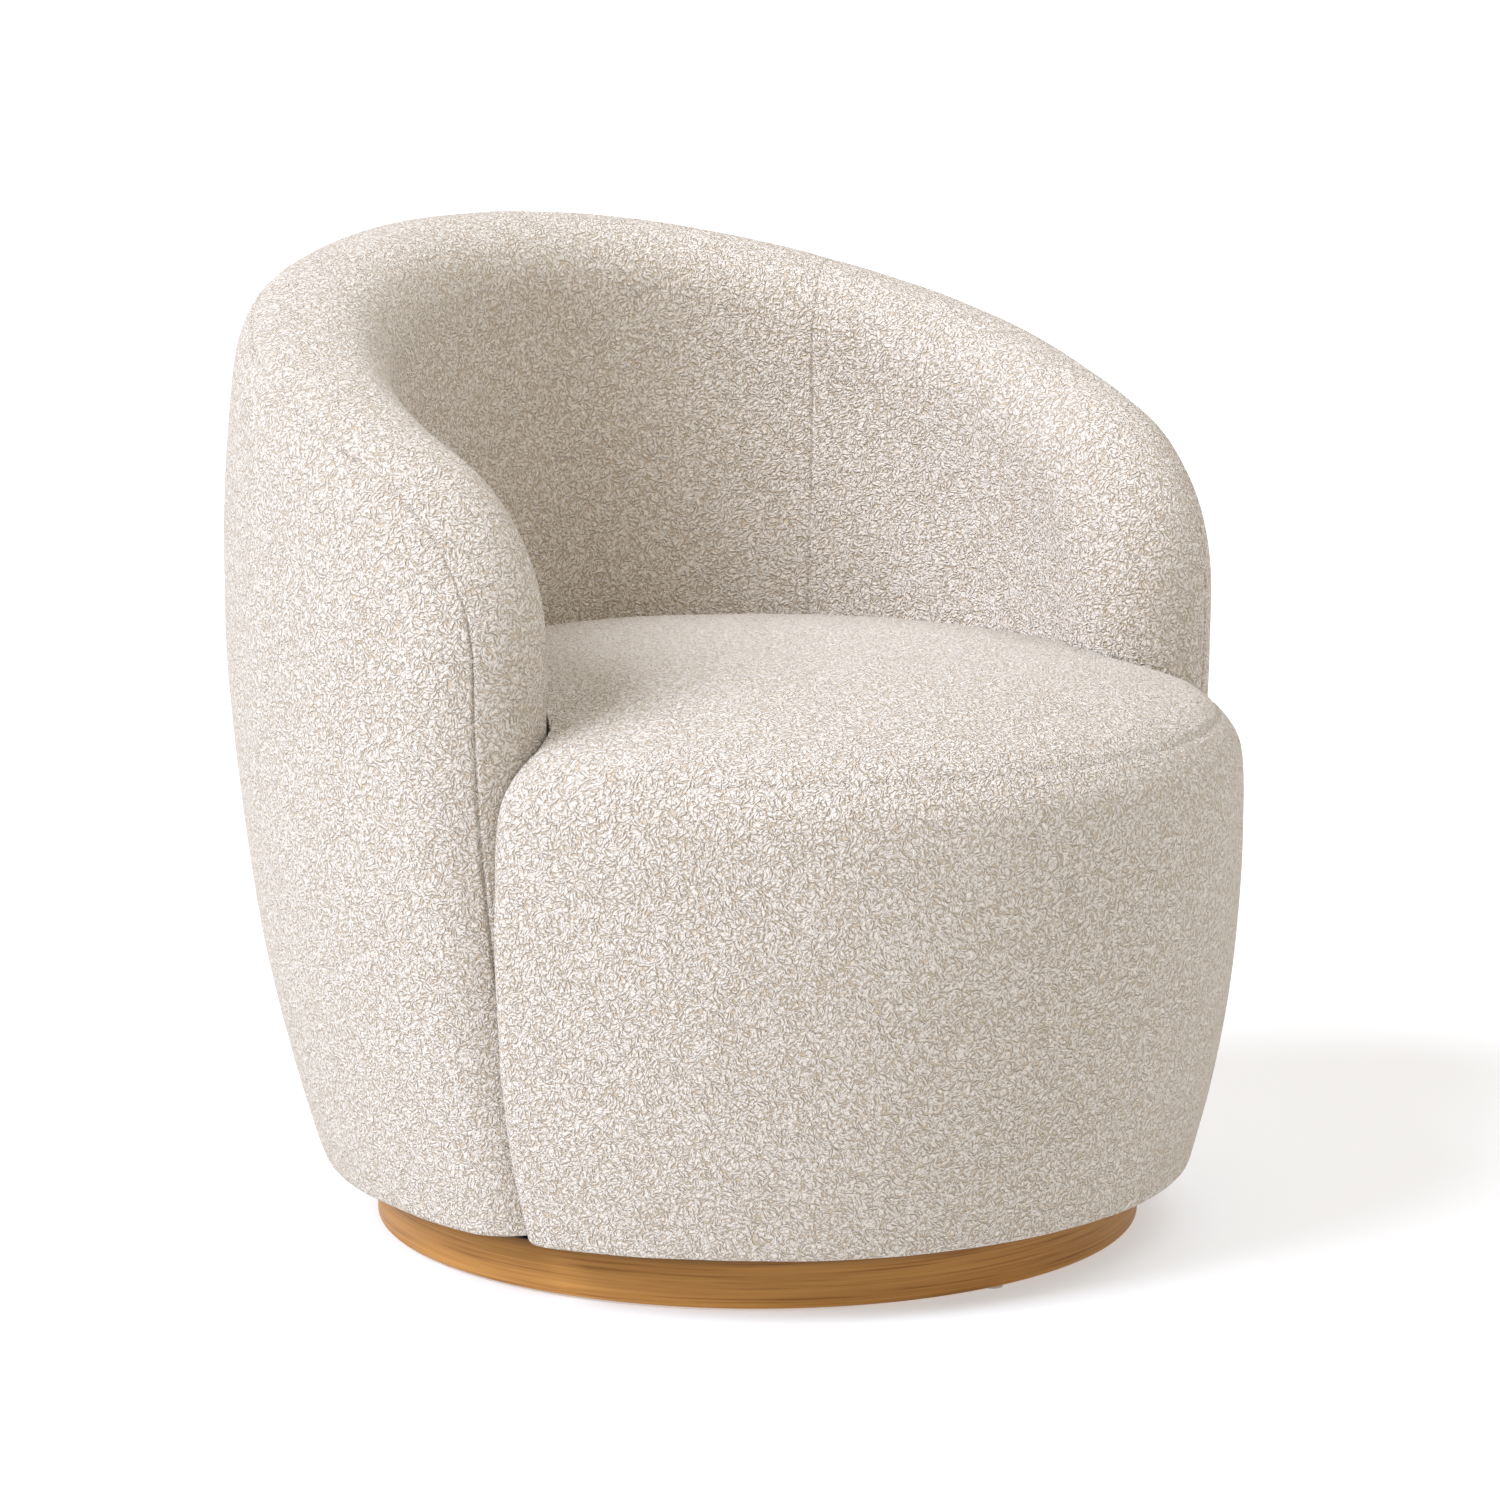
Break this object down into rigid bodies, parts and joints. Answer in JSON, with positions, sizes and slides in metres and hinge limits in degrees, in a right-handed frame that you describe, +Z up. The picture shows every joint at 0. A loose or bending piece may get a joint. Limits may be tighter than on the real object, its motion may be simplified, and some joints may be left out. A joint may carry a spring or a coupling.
{
  "type": "upholstered armchair",
  "caption": "Round tub armchair with a high sloping back, padded seat block and boucle covers, turning on a round oak plinth.",
  "frame": {"origin": "on the floor, on the swivel axis at the centre of the round plinth", "axes": "+Z up, the chair faces -Y, and +X is at the sitter's left"},
  "size_m": [0.7762, 0.7806, 0.7483],
  "materials": {
    "boucle": "looped cream boucle cloth, matt",
    "oak": "oiled oak veneer, satin",
    "plywood": "bare plywood",
    "foam": "open-cell upholstery foam",
    "felt": "pressed felt",
    "dust_cloth": "non-woven black lining",
    "rubber": "black rubber",
    "steel": "zinc-plated steel",
    "spring_steel": "drawn spring wire"
  },
  "bodies": {
    "base": {"lower_plate_screw_1": "steel", "lower_plate_screw_2": "steel", "lower_plate_screw_3": "steel", "lower_plate_screw_4": "steel", "pivot_bolt": "steel", "pivot_nut": "steel", "plinth_board": "plywood", "plinth_foot": "rubber", "plinth_glide_1": "felt", "plinth_glide_2": "felt", "plinth_glide_3": "felt", "plinth_glide_4": "felt", "plinth_ring": "oak", "swivel_lower_plate": "steel"},
    "bearing": {"ball_cage": "steel"},
    "seat_shell": {"arm_post_left": "plywood", "arm_post_right": "plywood", "back_post_1": "plywood", "back_post_2": "plywood", "back_post_3": "plywood", "back_post_4": "plywood", "back_post_5": "plywood", "bottom_board": "plywood", "dust_cloth": "dust_cloth", "inside_cover_back": "boucle", "inside_cover_left": "boucle", "inside_cover_right": "boucle", "inside_foam": "foam", "outside_cover_left": "boucle", "outside_cover_right": "boucle", "outside_panel": "plywood", "rim_cover": "boucle", "rim_roll": "foam", "seat_foam": "foam", "seat_front_cover": "boucle", "seat_front_foam": "foam", "seat_front_panel": "plywood", "seat_rail_back": "plywood", "seat_rail_front": "plywood", "seat_rail_left": "plywood", "seat_rail_right": "plywood", "seat_spring_1": "spring_steel", "seat_spring_2": "spring_steel", "seat_spring_3": "spring_steel", "seat_spring_4": "spring_steel", "seat_spring_5": "spring_steel", "seat_stile_front_left": "plywood", "seat_stile_front_right": "plywood", "seat_stile_left_front": "plywood", "seat_stile_left_rear": "plywood", "seat_stile_right_front": "plywood", "seat_stile_right_rear": "plywood", "seat_top_cover": "boucle", "spring_pad": "felt", "swivel_upper_plate": "steel", "top_rail": "plywood", "upper_plate_screw_1": "steel", "upper_plate_screw_2": "steel", "upper_plate_screw_3": "steel", "upper_plate_screw_4": "steel"}
  },
  "joints": [
    {"name": "swivel", "type": "hinge", "parent": "base", "child": "seat_shell", "pos_m": [0, 0, 0.046], "axis": [0, 0, 1], "continuous": true},
    {"name": "ball_cage_turn", "type": "hinge", "parent": "base", "child": "bearing", "pos_m": [0, 0, 0.042], "axis": [0, 0, 1], "continuous": true}
  ],
  "couplings": [
    {"joint": "ball_cage_turn", "follows": "swivel", "ratio": 0.5}
  ]
}
